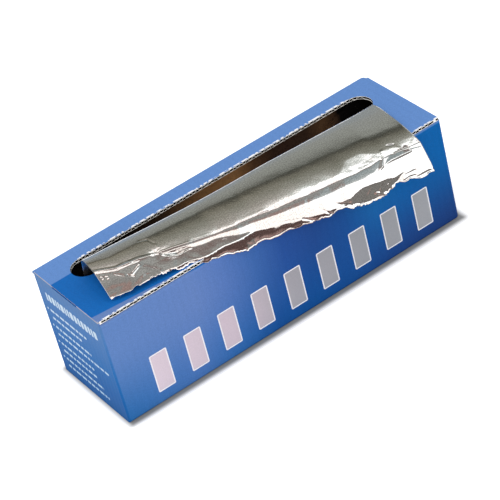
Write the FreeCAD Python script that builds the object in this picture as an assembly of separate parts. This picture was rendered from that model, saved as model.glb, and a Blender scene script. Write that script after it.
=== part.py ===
"""Roll of aluminium foil in a corrugated dispenser carton.

The carton rests on the plane z = 0 with its long side along X and its front towards -Y.
The origin is the middle of the resting face. All sizes are in millimetres.
"""
import FreeCAD, Part
import math
import os

Vector = FreeCAD.Vector

# Corrugated board
board_thickness = 3.0
liner_thickness = 0.45
wave_thickness = 0.35
flute_pitch = 6.4
flute_crown_width = 1.5
# Width along the board that the leaning flank of the wave takes, per unit of its thickness
flank_width_ratio = 1.33

# Carton, outside
carton_length = 340.0
carton_depth = 102.0
carton_height = 104.0
fold_radius = 2.8
crushed_corner_radius = 6.0

# Top panel, hinged along the back, its front edge a raw cut edge
top_front_setback = 1.0
top_right_setback = 1.3
back_fold_band = 6.0
plain_end_band = 6.0

# Slot in the top panel
slot_length = 301.0
slot_width = 26.6
slot_from_back = 19.0

# Open flute along the top panel's left edge
open_flute_depth = 2.4
open_flute_length = 38.0
open_flute_centre_from_back = 50.0

# Glued flaps inside the carton
front_flange_reach = 34.0
flange_end_gap = 1.0
back_flap_reach = 50.0
back_flap_top_taper = 23.0
back_flap_bottom_taper = 8.0
floor_flap_height = 42.0
floor_flap_side_gap = 4.0

# Core tube and wound foil
core_outer_radius = 20.0
core_wall = 2.5
core_overhang = 2.0
core_clearance = 0.15
foil_width = 290.0
roll_radius = 40.0
roll_clearance = 0.2
turn_ring_count = 6
turn_ring_step = 0.6

# Foil sheet drawn off the roll. One thickness stands for the thin sheet.
sheet_thickness = 0.3
sheet_bite = 0.06
sheet_lean = 0.085
slot_gap_left = 7.0
slot_gap_right = 5.7
crest_setback_left = 12.5
crest_setback_right = 19.0
sheet_shift = 0.3
# Angles at which a bend of the sheet is stepped, from its start to its end
bend_angles = (30, 60, 90)

# Shape of the drawn sheet at stations across its width:
# share of the width from the middle, rise of the crest above the top panel,
# reach of the crease and its rise, reach of the torn edge and its rise.
# A reach is counted forward from the front face, a rise upward from the top face.
sheet_stations = (
    (-0.500, 18.6, -40.0, 18.3, -14.9, 0.9),
    (-0.390, 16.8, -27.0, 13.4, -10.0, 1.5),
    (-0.325, 15.8, -22.0, 11.5, -3.0, 2.0),
    (-0.240, 13.8, -18.0, 9.5, 3.5, 3.0),
    (-0.150, 12.2, -11.0, 8.0, 5.5, -2.7),
    (-0.030, 11.0, -7.0, 6.5, 8.0, -10.0),
    (0.115, 10.4, -4.0, 5.3, 12.5, -16.5),
    (0.210, 9.6, 0.5, 4.2, 15.0, -18.5),
    (0.285, 8.8, 1.2, 3.2, 18.5, -27.8),
    (0.380, 8.0, 1.2, 2.4, 21.5, -24.5),
    (0.500, 4.5, 1.2, 1.4, 25.0, -31.0),
)

front_y = -carton_depth / 2
back_y = carton_depth / 2
left_x = -carton_length / 2
right_x = carton_length / 2
panel_under_z = carton_height - board_thickness
slot_back_y = back_y - slot_from_back
slot_front_y = slot_back_y - slot_width
foil_inner_radius = core_outer_radius + core_clearance
roll_axis_z = board_thickness + roll_clearance + roll_radius


def box(x_low, x_high, y_low, y_high, z_low, z_high):
    """Return a block between two corners."""
    size = (x_high - x_low, y_high - y_low, z_high - z_low)
    return Part.makeBox(*size, Vector(x_low, y_low, z_low))


def edge_along(shape, direction, *tests):
    """Return the straight edges along a direction whose middle passes every test."""
    found = []
    for edge in shape.Edges:
        run = edge.Vertexes[-1].Point - edge.Vertexes[0].Point
        if run.Length == 0 or abs(run.normalize().dot(direction)) < 0.999:
            continue
        if all(test(edge.CenterOfMass) for test in tests):
            found.append(edge)
    return found


def near(axis, value):
    """Return a test that a point's coordinate is the given value."""
    return lambda point: abs(getattr(point, axis) - value) < 0.01


def prism(outlines, sweep):
    """Return the solid that a flat outline sweeps, with any further outlines as holes."""
    return Part.makeFace(outlines, "Part::FaceMakerBullseye").extrude(sweep)


def carton_tray():
    """Bottom, front, back and end panels with their rounded folds, open at the top."""
    tray = box(left_x, right_x, front_y, back_y, 0, panel_under_z)
    upright = edge_along(tray, Vector(0, 0, 1))
    crushed = [edge for edge in upright if edge.CenterOfMass.x > 0 and edge.CenterOfMass.y > 0]
    tray = tray.makeFillet(crushed_corner_radius, crushed)
    folds = edge_along(tray, Vector(0, 0, 1), lambda point: point.x < 0 or point.y < 0)
    folds += edge_along(tray, Vector(1, 0, 0), near("z", 0))
    folds += edge_along(tray, Vector(1, 0, 0), near("y", front_y), near("z", panel_under_z))
    tray = tray.makeFillet(fold_radius, folds)
    inside = box(left_x + board_thickness, right_x - board_thickness,
                 front_y + board_thickness, back_y - board_thickness,
                 board_thickness, panel_under_z)
    return tray.cut(inside)


def flute_outline(centre_x, opens_down):
    """Closed outline of one tunnel between the wavy paper and a liner."""
    inner_height = board_thickness - 2 * liner_thickness
    tunnel_height = inner_height - wave_thickness
    half_crown = flute_crown_width / 2
    ratio = inner_height / tunnel_height
    flank_width = flank_width_ratio * wave_thickness
    half_base = (flute_pitch / 2 - flank_width - half_crown * ratio) / (2 - ratio)
    if opens_down:
        base_z = panel_under_z + liner_thickness
        crown_z = base_z + tunnel_height
    else:
        base_z = carton_height - liner_thickness
        crown_z = base_z - tunnel_height
    corners = [(-half_base, base_z), (half_base, base_z), (half_crown, crown_z), (-half_crown, crown_z)]
    points = [Vector(centre_x + x, 0, z) for x, z in corners]
    return Part.makePolygon(points + points[:1])


def slot_cutter():
    """Prism with round ends that cuts the slot through the top panel and clears both faces."""
    radius = slot_width / 2
    reach = slot_length / 2 - radius
    middle_y = (slot_front_y + slot_back_y) / 2
    corners = [Vector(x, y, 0) for x, y in (
        (-reach, slot_front_y), (reach, slot_front_y), (reach, slot_back_y), (-reach, slot_back_y))]
    right_end = Part.Arc(corners[1], Vector(reach + radius, middle_y, 0), corners[2]).toShape()
    left_end = Part.Arc(corners[3], Vector(-reach - radius, middle_y, 0), corners[0]).toShape()
    front_side = Part.makeLine(corners[0], corners[1])
    back_side = Part.makeLine(corners[2], corners[3])
    outline = Part.Wire([front_side, right_end, back_side, left_end])
    outline.translate(Vector(0, 0, panel_under_z - board_thickness))
    return prism([outline], Vector(0, 0, 3 * board_thickness))


def top_panel():
    """Corrugated top panel with its flutes running front to back and the slot cut through."""
    panel_right = right_x - top_right_setback
    panel_front = front_y + top_front_setback
    band_start = back_y - back_fold_band
    corners = [Vector(x, 0, z) for x, z in (
        (left_x, panel_under_z), (panel_right, panel_under_z),
        (panel_right, carton_height), (left_x, carton_height))]
    outlines = [Part.makePolygon(corners + corners[:1])]
    fluted_width = panel_right - left_x - 2 * plain_end_band
    count = int(fluted_width // flute_pitch)
    first_x = left_x + plain_end_band + (fluted_width - count * flute_pitch + flute_pitch) / 2
    for index in range(count):
        outlines.append(flute_outline(first_x + index * flute_pitch, True))
        if index < count - 1:
            outlines.append(flute_outline(first_x + (index + 0.5) * flute_pitch, False))
    fluted = prism(outlines, Vector(0, band_start - panel_front, 0))
    fluted.translate(Vector(0, panel_front, 0))
    band = box(left_x, panel_right, band_start, back_y, panel_under_z, carton_height)
    corner = edge_along(band, Vector(0, 0, 1), near("x", panel_right), near("y", back_y))
    band = band.makeFillet(crushed_corner_radius - top_right_setback, corner)
    hinge = edge_along(band, Vector(1, 0, 0), near("y", back_y), near("z", carton_height))
    band = band.makeFillet(fold_radius, hinge)
    panel = fluted.fuse(band).cut(slot_cutter())
    flute_middle = back_y - open_flute_centre_from_back
    open_flute = box(left_x - open_flute_depth, left_x + open_flute_depth,
                     flute_middle - open_flute_length / 2, flute_middle + open_flute_length / 2,
                     panel_under_z + liner_thickness, carton_height - liner_thickness)
    return panel.cut(open_flute)


def front_flange():
    """Flange folded in from the front panel's top, glued under the top panel."""
    start_y = front_y + board_thickness
    return box(left_x + board_thickness + flange_end_gap, right_x - board_thickness - flange_end_gap,
               start_y, start_y + front_flange_reach, panel_under_z - board_thickness, panel_under_z)


def back_flap(side):
    """End panel's flap, folded in behind the back panel, with tapered edges."""
    hinge_x = side * (right_x - board_thickness)
    tip_x = hinge_x - side * back_flap_reach
    corners = [Vector(x, 0, z) for x, z in (
        (hinge_x, board_thickness), (tip_x, board_thickness + back_flap_bottom_taper),
        (tip_x, panel_under_z - back_flap_top_taper), (hinge_x, panel_under_z))]
    flap = prism([Part.makePolygon(corners + corners[:1])], Vector(0, board_thickness, 0))
    flap.translate(Vector(0, back_y - 2 * board_thickness, 0))
    return flap


def floor_flap(side):
    """Bottom panel's flap, folded up inside the end panel."""
    outer_x = side * (right_x - board_thickness)
    inner_x = outer_x - side * board_thickness
    return box(min(inner_x, outer_x), max(inner_x, outer_x),
               front_y + board_thickness + floor_flap_side_gap,
               back_y - 2 * board_thickness - floor_flap_side_gap,
               board_thickness, board_thickness + floor_flap_height)


def carton():
    """One folded and glued blank of corrugated board."""
    pieces = [top_panel(), front_flange()]
    for side in (-1, 1):
        pieces.append(back_flap(side))
        pieces.append(floor_flap(side))
    return carton_tray().multiFuse(pieces).removeSplitter()


def roll_point():
    """Place where the sheet leaves the back of the roll, as (y, z)."""
    target_y = slot_front_y + (slot_gap_left + slot_gap_right) / 2
    rise = panel_under_z - roll_axis_z
    distance = math.hypot(target_y, rise)
    bite_radius = roll_radius - sheet_bite
    angle = math.atan2(rise, target_y) - math.acos(bite_radius / distance)
    return bite_radius * math.cos(angle), roll_axis_z + bite_radius * math.sin(angle)


def sheet_line(station):
    """Outer line of the sheet at one station, from the roll to the torn edge, as (y, z) pairs."""
    share, crest_rise, crease_reach, crease_rise, torn_reach, torn_rise = station
    along = share + 0.5
    slot_y = slot_front_y + slot_gap_left + (slot_gap_right - slot_gap_left) * along
    setback = crest_setback_left + (crest_setback_right - crest_setback_left) * along
    crest_y = slot_y - setback
    crease_y = front_y - crease_reach
    torn_y = front_y - torn_reach
    leave_y, leave_z = roll_point()
    lean = (leave_y - slot_y) / (carton_height - leave_z)
    line = [(leave_y, leave_z), (slot_y + lean * board_thickness, panel_under_z), (slot_y, carton_height)]
    for degrees in bend_angles:
        turn = math.radians(degrees)
        line.append((crest_y + setback * math.cos(turn), carton_height + crest_rise * math.sin(turn)))
    line.append(((crest_y + crease_y) / 2, carton_height + (crest_rise + crease_rise) / 2))
    line.append((crease_y, carton_height + crease_rise))
    for degrees in bend_angles:
        turn = math.radians(degrees)
        y = crease_y + (torn_y - crease_y) * math.sin(turn)
        rise = torn_rise + (crease_rise - torn_rise) * math.cos(turn)
        line.append((y, carton_height + rise))
    return line


def inner_line(line):
    """Line one sheet thickness inside the outer line, as (y, z) pairs."""
    normals = []
    for start, end in zip(line, line[1:]):
        run_y = end[0] - start[0]
        run_z = end[1] - start[1]
        length = math.hypot(run_y, run_z)
        normals.append((run_z / length, -run_y / length))
    inner = []
    for index, (y, z) in enumerate(line):
        before = normals[max(index - 1, 0)]
        after = normals[min(index, len(normals) - 1)]
        spread = 1 + before[0] * after[0] + before[1] * after[1]
        step_y = (before[0] + after[0]) / spread
        step_z = (before[1] + after[1]) / spread
        inner.append((y - sheet_thickness * step_y, z - sheet_thickness * step_z))
    return inner


def sheet_section(station):
    """Closed outline of the sheet at one station, in an upright plane that leans with the pull."""
    line = sheet_line(station)
    outline = line + inner_line(line)[::-1]
    middle_x = station[0] * foil_width + sheet_shift
    points = [Vector(middle_x + sheet_lean * (y - slot_front_y), y, z) for y, z in outline]
    return Part.makePolygon(points + points[:1])


def foil_roll(centre_x):
    """Wound turns, with fine rings on both ends where the turns lie in and out."""
    step = (roll_radius - foil_inner_radius) / turn_ring_count
    half = foil_width / 2
    end_line = []
    for ring in range(turn_ring_count):
        inset = turn_ring_step if ring % 2 else 0.0
        low = foil_inner_radius + ring * step
        end_line += [(half - inset, low), (half - inset, low + step)]
    outline = [(x, radius) for x, radius in end_line]
    outline += [(-x, radius) for x, radius in reversed(end_line)]
    points = [Vector(centre_x + x, 0, roll_axis_z + radius) for x, radius in outline]
    section = Part.Face(Part.makePolygon(points + points[:1]))
    return section.revolve(Vector(0, 0, roll_axis_z), Vector(1, 0, 0), 360)


def roll_centre_x():
    """Middle of the roll along X, in line with the leaning sheet."""
    return sheet_shift + sheet_lean * (roll_point()[0] - slot_front_y)


def foil():
    """Wound roll and the sheet drawn up through the slot and over the front, one piece."""
    sections = [sheet_section(station) for station in sheet_stations]
    sheet = Part.makeLoft(sections, True, True)
    return foil_roll(roll_centre_x()).fuse(sheet)


def core_tube():
    """Paperboard tube that the foil is wound on."""
    length = foil_width + 2 * core_overhang
    start = Vector(roll_centre_x() - length / 2, 0, roll_axis_z)
    along = Vector(1, 0, 0)
    outside = Part.makeCylinder(core_outer_radius, length, start, along)
    bore = Part.makeCylinder(core_outer_radius - core_wall, length, start, along)
    return outside.cut(bore)


os.makedirs("parts", exist_ok=True)
for name, shape in (("carton", carton()), ("foil", foil()), ("core_tube", core_tube())):
    shape.exportStep(f"parts/{name}.step")
    print(name, "solids", len(shape.Solids), "valid", shape.isValid(),
          "volume_cm3", round(shape.Volume / 1000, 2), shape.BoundBox)
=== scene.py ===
"""Looks of a roll of aluminium foil in a corrugated dispenser carton.

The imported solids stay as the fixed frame. Around them come the print on the carton,
the creased and torn sheet that is drawn off the roll, the wound turns, the finishes,
and a plain studio. All sizes are in metres, in the same frame as the solids: X along
the carton, the front towards -Y, and the origin in the middle of the resting face.
"""

import logging
import math
from collections.abc import Sequence
from dataclasses import dataclass, field
from enum import Enum
from functools import reduce

import bmesh
import bpy
import numpy as np
from mathutils import Matrix, Vector
from mathutils.bvhtree import BVHTree
from mathutils.geometry import delaunay_2d_cdt


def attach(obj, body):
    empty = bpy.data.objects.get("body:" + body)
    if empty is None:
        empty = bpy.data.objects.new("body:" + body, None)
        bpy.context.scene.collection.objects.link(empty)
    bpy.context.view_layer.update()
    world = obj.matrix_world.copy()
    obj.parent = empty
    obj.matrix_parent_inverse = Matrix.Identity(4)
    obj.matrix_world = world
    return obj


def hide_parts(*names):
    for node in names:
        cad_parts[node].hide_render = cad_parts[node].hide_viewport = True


logging.basicConfig(level=logging.INFO, format="%(message)s")
report = logging.getLogger("foil_roll")

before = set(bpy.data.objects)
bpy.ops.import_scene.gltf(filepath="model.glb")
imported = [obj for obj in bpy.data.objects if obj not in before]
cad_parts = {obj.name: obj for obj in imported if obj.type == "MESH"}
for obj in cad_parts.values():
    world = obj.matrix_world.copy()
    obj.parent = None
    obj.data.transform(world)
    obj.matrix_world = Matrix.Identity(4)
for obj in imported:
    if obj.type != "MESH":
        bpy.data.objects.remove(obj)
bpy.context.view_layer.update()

BODY = "root"

# The carton, as its solid is
CARTON_LENGTH = 0.340
CARTON_DEPTH = 0.102
CARTON_HEIGHT = 0.104
BOARD = 0.003
FLUTE_PITCH = 0.0064
FRONT_Y = -CARTON_DEPTH / 2
BACK_Y = CARTON_DEPTH / 2
LEFT_X = -CARTON_LENGTH / 2
RIGHT_X = CARTON_LENGTH / 2
SLOT_FRONT_Y = 0.0054

Colour = tuple[float, float, float, float]
Source = bpy.types.NodeSocket | float | Sequence[float]
# Values by share of the sheet's width, from -0.5 at its left to 0.5 at its right
Profile = tuple[tuple[float, float], ...]
# Colours by place along an axis
Stops = tuple[tuple[float, Colour], ...]


class Slot(str, Enum):
    """Material slot names, as the record names them; nothing here uses them."""

    BOARD = "printed_board"
    FOIL = "foil"


class Facing(Enum):
    """Ways that a printed panel can face."""

    FRONT = (0.0, -1.0, 0.0)
    LEFT = (-1.0, 0.0, 0.0)


def ink(red: int, green: int, blue: int) -> Colour:
    """Give the linear colour of an 8-bit screen colour.

    Args:
        red: Red, 0 to 255, or above it for glare.
        green: Green, the same way.
        blue: Blue, the same way.

    Returns:
        The linear colour with full alpha.
    """
    knee, slope, shift, power = 0.04045, 12.92, 0.055, 2.4
    shares = (channel / 255 for channel in (red, green, blue))
    linear = (s / slope if s <= knee else ((s + shift) / (1 + shift)) ** power for s in shares)
    return (*linear, 1.0)


class Wiring:
    """Adds nodes to one node tree and joins them."""

    def __init__(self, tree: bpy.types.NodeTree) -> None:
        """Take the tree that the nodes go into."""
        self.tree = tree

    def add(self, kind: str, inputs: dict[str | int, Source] | None = None,
            **settings: object) -> bpy.types.Node:
        """Add a node.

        Args:
            kind: Blender's name of the node type.
            inputs: Values or sockets for its inputs, by name or place.
            **settings: Properties of the node.

        Returns:
            The new node.
        """
        node = self.tree.nodes.new(kind)
        for name, value in settings.items():
            setattr(node, name, value)
        for name, value in (inputs or {}).items():
            self.feed(node.inputs[name], value)
        return node

    def feed(self, socket: bpy.types.NodeSocket, value: Source) -> None:
        """Give a socket a link or a value of its own."""
        if isinstance(value, bpy.types.NodeSocket):
            self.tree.links.new(value, socket)
        else:
            socket.default_value = value

    def fill(self, node: bpy.types.Node, **values: Source) -> None:
        """Feed a node's inputs by name, with _ for a space."""
        for name, value in values.items():
            self.feed(node.inputs[name.replace("_", " ")], value)

    def math(self, operation: str, *values: Source) -> bpy.types.NodeSocket:
        """Add a Math node on up to three values and return its result."""
        return self.add("ShaderNodeMath", dict(enumerate(values)), operation=operation).outputs[0]

    def step(self, value: Source, low: float, high: float) -> bpy.types.NodeSocket:
        """Return a soft step of a value, from 0 at low to 1 at high."""
        inputs = {"Value": value, "From Min": low, "From Max": high}
        return self.add("ShaderNodeMapRange", inputs, interpolation_type="SMOOTHSTEP").outputs[0]

    def mix(self, share: Source, first: Source, second: Source,
            numbers: bool = False) -> bpy.types.NodeSocket:
        """Mix two colours, or two numbers, and return the result."""
        kind, places, result = ("FLOAT", (0, 2, 3), 0) if numbers else ("RGBA", (0, 6, 7), 2)
        node = self.add("ShaderNodeMix", data_type=kind)
        for place, value in zip(places, (share, first, second)):
            self.feed(node.inputs[place], value)
        return node.outputs[result]

    def ramp(self, value: Source, stops: Sequence[tuple[float, Colour]]) -> bpy.types.NodeSocket:
        """Return a colour read from stops along a value of 0 to 1."""
        node = self.add("ShaderNodeValToRGB", {0: value})
        elements = node.color_ramp.elements
        for index, (place, colour) in enumerate(stops):
            element = elements[index] if index < len(elements) else elements.new(place)
            element.position = place
            element.color = colour
        return node.outputs[0]

    def ranged(self, value: Source, span: Sequence[float],
               result: Sequence[float] = (0.0, 1.0)) -> bpy.types.NodeSocket:
        """Return a number that runs evenly over a result while a value runs over a span."""
        names = ("Value", "From Min", "From Max", "To Min", "To Max")
        inputs = dict(zip(names, (value, *span, *result)))
        return self.add("ShaderNodeMapRange", inputs).outputs[0]

    def along(self, value: Source, low: float, high: float,
              stops: Stops) -> bpy.types.NodeSocket:
        """Return a colour read from stops given at places between low and high."""
        shares = [((place - low) / (high - low), colour) for place, colour in stops]
        return self.ramp(self.ranged(value, (low, high)), shares)

    def noise(self, vector: Source, scale: float, detail: float = 2.0) -> bpy.types.NodeSocket:
        """Return the value of a noise texture."""
        inputs = {"Vector": vector, "Scale": scale, "Detail": detail}
        return self.add("ShaderNodeTexNoise", inputs).outputs["Fac"]

    def stretched(self, vector: Source, scale: Sequence[float]) -> bpy.types.NodeSocket:
        """Return a vector scaled along its axes."""
        return self.add("ShaderNodeMapping", {"Vector": vector, "Scale": scale}).outputs[0]

    def parts(self, vector: Source) -> list[bpy.types.NodeSocket]:
        """Return the X, Y and Z of a vector."""
        return list(self.add("ShaderNodeSeparateXYZ", {0: vector}).outputs)

    def place(self) -> bpy.types.NodeSocket:
        """Return the surface point in the object's own coordinates."""
        return self.add("ShaderNodeTexCoord").outputs["Object"]

    def bump(self, height: Source, distance: float) -> bpy.types.NodeSocket:
        """Return normals for a height of 0 to 1 that stands for a distance."""
        inputs = {"Height": height, "Distance": distance, "Strength": 1.0}
        return self.add("ShaderNodeBump", inputs).outputs[0]

    def scaled(self, colour: Source, tone: Source) -> bpy.types.NodeSocket:
        """Return a colour made lighter or darker by a factor."""
        inputs = {0: colour, "Scale": tone}
        return self.add("ShaderNodeVectorMath", inputs, operation="SCALE").outputs[0]

    def chain(self, operation: str, *values: Source) -> bpy.types.NodeSocket:
        """Join any number of values with one Math operation and return the result."""
        return reduce(lambda joined, value: self.math(operation, joined, value), values)

    def past(self, value: Source, limit: float) -> bpy.types.NodeSocket:
        """Return 1 where a value lies further from 0 than a limit, else 0."""
        return self.math("GREATER_THAN", self.math("ABSOLUTE", value), limit)

    def within(self, value: Source, limit: float) -> bpy.types.NodeSocket:
        """Return 1 where a value lies closer to 0 than a limit, else 0."""
        return self.math("LESS_THAN", self.math("ABSOLUTE", value), limit)

    def seen_by(self, *rays: str) -> bpy.types.NodeSocket:
        """Return 1 for rays of the named kinds, else 0."""
        path = self.add("ShaderNodeLightPath").outputs
        return self.chain("MAXIMUM", *(path[f"Is {ray} Ray"] for ray in rays))


class Effect:
    """A shader node group that several materials use."""

    def __init__(self, name: str, inputs: dict[str, tuple[str, float | None]],
                 outputs: Sequence[str]) -> None:
        """Make the group and its sockets.

        Args:
            name: Name of the group.
            inputs: Socket types and plain values by name.
            outputs: Names of the values that the group gives.
        """
        self.tree = bpy.data.node_groups.new(name, "ShaderNodeTree")
        for socket, (kind, value) in inputs.items():
            made = self.tree.interface.new_socket(socket, in_out="INPUT", socket_type=kind)
            if value is not None:
                made.default_value = value
        for socket in outputs:
            self.tree.interface.new_socket(socket, in_out="OUTPUT", socket_type="NodeSocketFloat")
        self.wiring = Wiring(self.tree)
        self.source = self.wiring.add("NodeGroupInput")
        self.result = self.wiring.add("NodeGroupOutput")

    def placed(self, wiring: Wiring, **inputs: Source) -> bpy.types.Node:
        """Place the group in a material with that material's own values."""
        node = wiring.add("ShaderNodeGroup", node_tree=self.tree)
        for name, value in inputs.items():
            wiring.feed(node.inputs[name.capitalize()], value)
        return node

    def give(self, **values: Source) -> None:
        """Join values to the group's outputs by name."""
        for name, value in values.items():
            self.wiring.feed(self.result.inputs[name], value)


class PaperGrain(Effect):
    """Fibres and mottled ink of a paper surface."""

    FIBRE_SCALE = 900.0
    MOTTLE_SCALE = 800.0
    FIBRE_STRETCH = (1.0, 0.35, 1.0)

    def __init__(self) -> None:
        """Build the group."""
        inputs = {"Vector": ("NodeSocketVector", None), "Amount": ("NodeSocketFloat", 1.0)}
        super().__init__("paper_grain", inputs, ("Height", "Mottle"))
        wiring, given = self.wiring, self.source.outputs
        stretched = wiring.stretched(given["Vector"], self.FIBRE_STRETCH)
        fibres = wiring.noise(stretched, self.FIBRE_SCALE, 3.0)
        mottle = wiring.noise(given["Vector"], self.MOTTLE_SCALE, 4.0)
        centred = wiring.math("SUBTRACT", mottle, 0.5)
        self.give(Height=wiring.math("MULTIPLY", fibres, given["Amount"]),
                  Mottle=wiring.math("MULTIPLY", centred, given["Amount"]))


class RolledMetal(Effect):
    """Faint mill lines, soft dents and a fine crinkle of thin rolled metal."""

    LINE_STRETCH = (1.0, 0.02, 0.02)
    LINE_SCALE = 2600.0
    DENT_SCALE = 140.0
    CRINKLE_SCALE = 900.0
    PATCH_SCALE = 30.0
    GRIT_SCALE = 850.0

    def __init__(self) -> None:
        """Build the group."""
        inputs = {"Vector": ("NodeSocketVector", None), "Lines": ("NodeSocketFloat", 0.3)}
        super().__init__("rolled_metal", inputs, ("Height", "Patches", "Grit"))
        wiring, given = self.wiring, self.source.outputs
        stretched = wiring.stretched(given["Vector"], self.LINE_STRETCH)
        lines = wiring.noise(stretched, self.LINE_SCALE, 1.0)
        dents, crinkle, patches, grit = (
            wiring.noise(given["Vector"], scale, detail) for scale, detail in (
                (self.DENT_SCALE, 2.0), (self.CRINKLE_SCALE, 1.0),
                (self.PATCH_SCALE, 3.0), (self.GRIT_SCALE, 2.0)))
        dented = wiring.math("ADD", dents, crinkle)
        height = wiring.math("MULTIPLY_ADD", lines, given["Lines"], dented)
        self.give(Height=height, Patches=patches, Grit=grit)


@dataclass(frozen=True)
class Finish:
    """A material with one Principled shader."""

    name: str

    def start(self, **values: Source) -> tuple[bpy.types.Material, Wiring, bpy.types.Node]:
        """Make the material with its shader.

        Args:
            **values: Plain values of the shader's sockets, with _ for a space.

        Returns:
            The material, its wiring and the shader node.
        """
        material = bpy.data.materials.new(self.name)
        material.use_nodes = True
        shader = material.node_tree.nodes["Principled BSDF"]
        wiring = Wiring(material.node_tree)
        wiring.fill(shader, **values)
        return material, wiring, shader


@dataclass(frozen=True)
class PrintedBoard(Finish):
    """Corrugated board: satin blue print outside, brown inside, pale where it is cut, with light
    and shade painted into its colours.
    """

    grain: PaperGrain
    top_light: Colour = ink(97, 137, 197)
    top_field: Colour = ink(21, 100, 177)
    top_band: Colour = ink(101, 128, 181)
    plain_blue: Colour = ink(16, 88, 162)
    raw_edge: Colour = ink(255, 252, 246)
    fold_line: Colour = ink(190, 182, 184)
    # White of the rims: worn print with a painted highlight
    wear_and_highlight_rim: Colour = ink(240, 242, 248)
    # Painted shade of the flute tunnels and of the open flutes in the cut edge
    tunnel_shade: Colour = ink(12, 10, 8)
    # Colours of the board's inside from left to right, with painted light and shade: near black at
    # both ends and a lit brown patch in the middle
    inside_light_and_shade: Stops = (
        (-0.170, ink(20, 16, 14)), (-0.090, ink(26, 20, 17)), (-0.050, ink(70, 52, 38)),
        (-0.010, ink(160, 120, 80)), (0.024, ink(190, 142, 94)), (0.045, ink(112, 82, 58)),
        (0.065, ink(74, 54, 44)), (0.100, ink(78, 58, 46)), (0.116, ink(116, 86, 60)),
        (0.130, ink(84, 62, 46)), (0.134, ink(22, 20, 20)), (0.170, ink(18, 17, 18)))
    # Colours of the left end from its foot to its head
    end_colours: Stops = (
        (0.0, ink(28, 92, 158)), (0.022, ink(24, 96, 166)), (0.050, ink(44, 110, 178)),
        (0.085, ink(76, 124, 184)), (0.104, ink(88, 128, 178)))
    # Colours of the front from left to right, high and low on the panel: the print's blues, with a
    # painted sheen at the upper left and the foil's painted shadow in the middle of the high row
    front_high_print_sheen_and_shadow: Stops = (
        (-0.170, ink(98, 134, 194)), (-0.085, ink(101, 132, 192)), (-0.058, ink(88, 122, 187)),
        (-0.028, ink(62, 104, 172)), (0.0, ink(40, 82, 155)), (0.030, ink(34, 74, 143)),
        (0.060, ink(28, 80, 150)), (0.090, ink(24, 104, 174)), (0.120, ink(13, 100, 173)),
        (0.170, ink(10, 98, 171)))
    front_low: Stops = (
        (-0.170, ink(40, 106, 172)), (-0.140, ink(60, 114, 180)), (-0.100, ink(73, 118, 185)),
        (-0.060, ink(47, 106, 176)), (-0.020, ink(22, 82, 154)), (0.020, ink(16, 80, 151)),
        (0.060, ink(23, 79, 150)), (0.090, ink(27, 71, 140)), (0.120, ink(31, 66, 131)),
        (0.170, ink(30, 61, 122)))
    field_back_y: float = 0.021
    field_front_y: float = -0.041
    field_front_slope: float = -0.107
    field_right_x: float = 0.120
    ink_edge: float = 0.0006
    # Widths of the white rims, worn print with a painted highlight along the edge, where the
    # slot's one lies, and how they break up
    slot_rim: float = 0.00182
    front_rim: float = 0.0023
    slot_back_y: float = 0.0320
    slot_reach: float = 0.1372
    rim_scale: float = 330.0
    rim_break: tuple[float, float] = (0.44, 0.50)
    # Painted shade in the open flutes of the cut edge: from where, how high, and from which part
    # of a wave
    flute_shade_past: float = 0.1605
    flute_shade_height: float = 0.00078
    flute_shade_wave: float = -0.35
    wave_tone: float = 0.012
    wave_depth: float = 0.00006
    wave_height: float = 0.5
    print_mottle: float = 0.35
    brown_mottle: float = 0.8
    plain_and_print_roughness: tuple[float, float] = (0.85, 0.5)
    # Margins that tell the board's faces apart, and how far print reaches at a fold
    skin: float = 0.0001
    tunnel_skin: float = 0.0002
    fold_reach: float = 0.0005
    fold_depth: float = 0.0012
    # Parts of a normal: across an end, up at a fold, up on the panel, and upright
    end_facing: float = 0.7
    fold_facing: float = 0.6
    level_facing: float = 0.9
    upright_facing: float = 0.15
    # How far a surface has to face a side for that side's print to start and be whole
    side_facing: tuple[float, float] = (0.35, 0.75)
    # Values of -Z at which the front's low colours start and are whole
    low_span: tuple[float, float] = (-0.078, 0.004)

    def build(self) -> bpy.types.Material:
        """Build the material and return it."""
        material, wiring, shader = self.start(Specular_IOR_Level=0.04)
        place = wiring.place()
        x, y, z = wiring.parts(place)
        normal = wiring.parts(wiring.add("ShaderNodeNewGeometry").outputs["Normal"])
        grain = self.grain.placed(wiring, vector=place)
        # The coordinate that crosses the flutes: Y on the ends, X elsewhere
        across = wiring.mix(wiring.past(normal[0], self.end_facing), x, y, numbers=True)
        wave = wiring.math("SINE", wiring.math("MULTIPLY", across, 2 * math.pi / FLUTE_PITCH))

        mottle = wiring.math("MULTIPLY", grain.outputs["Mottle"], self.print_mottle)
        tone = wiring.math("ADD", wiring.math("MULTIPLY_ADD", wave, self.wave_tone, 1.0), mottle)
        toned = wiring.scaled(self.print_colour(wiring, (x, y, z), normal), tone)
        on_left = wiring.math("LESS_THAN", x, LEFT_X + BOARD / 2)
        printed, raw = self.masks(wiring, (x, y, z), normal[2], on_left)
        board = wiring.mix(raw, self.brown(wiring, x, z, grain),
                           self.cut_edge(wiring, x, z, wave, on_left))
        # White rims: worn print with a painted highlight along the edge
        outside = wiring.mix(self.rim(wiring, x, y, normal[2]), toned, self.wear_and_highlight_rim)
        height = wiring.math("MULTIPLY_ADD", wave, self.wave_height, grain.outputs["Height"])
        wiring.fill(shader, Base_Color=wiring.mix(printed, board, outside),
                    Roughness=wiring.ranged(printed, (0.0, 1.0), self.plain_and_print_roughness),
                    Normal=wiring.bump(height, self.wave_depth))
        return material

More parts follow.
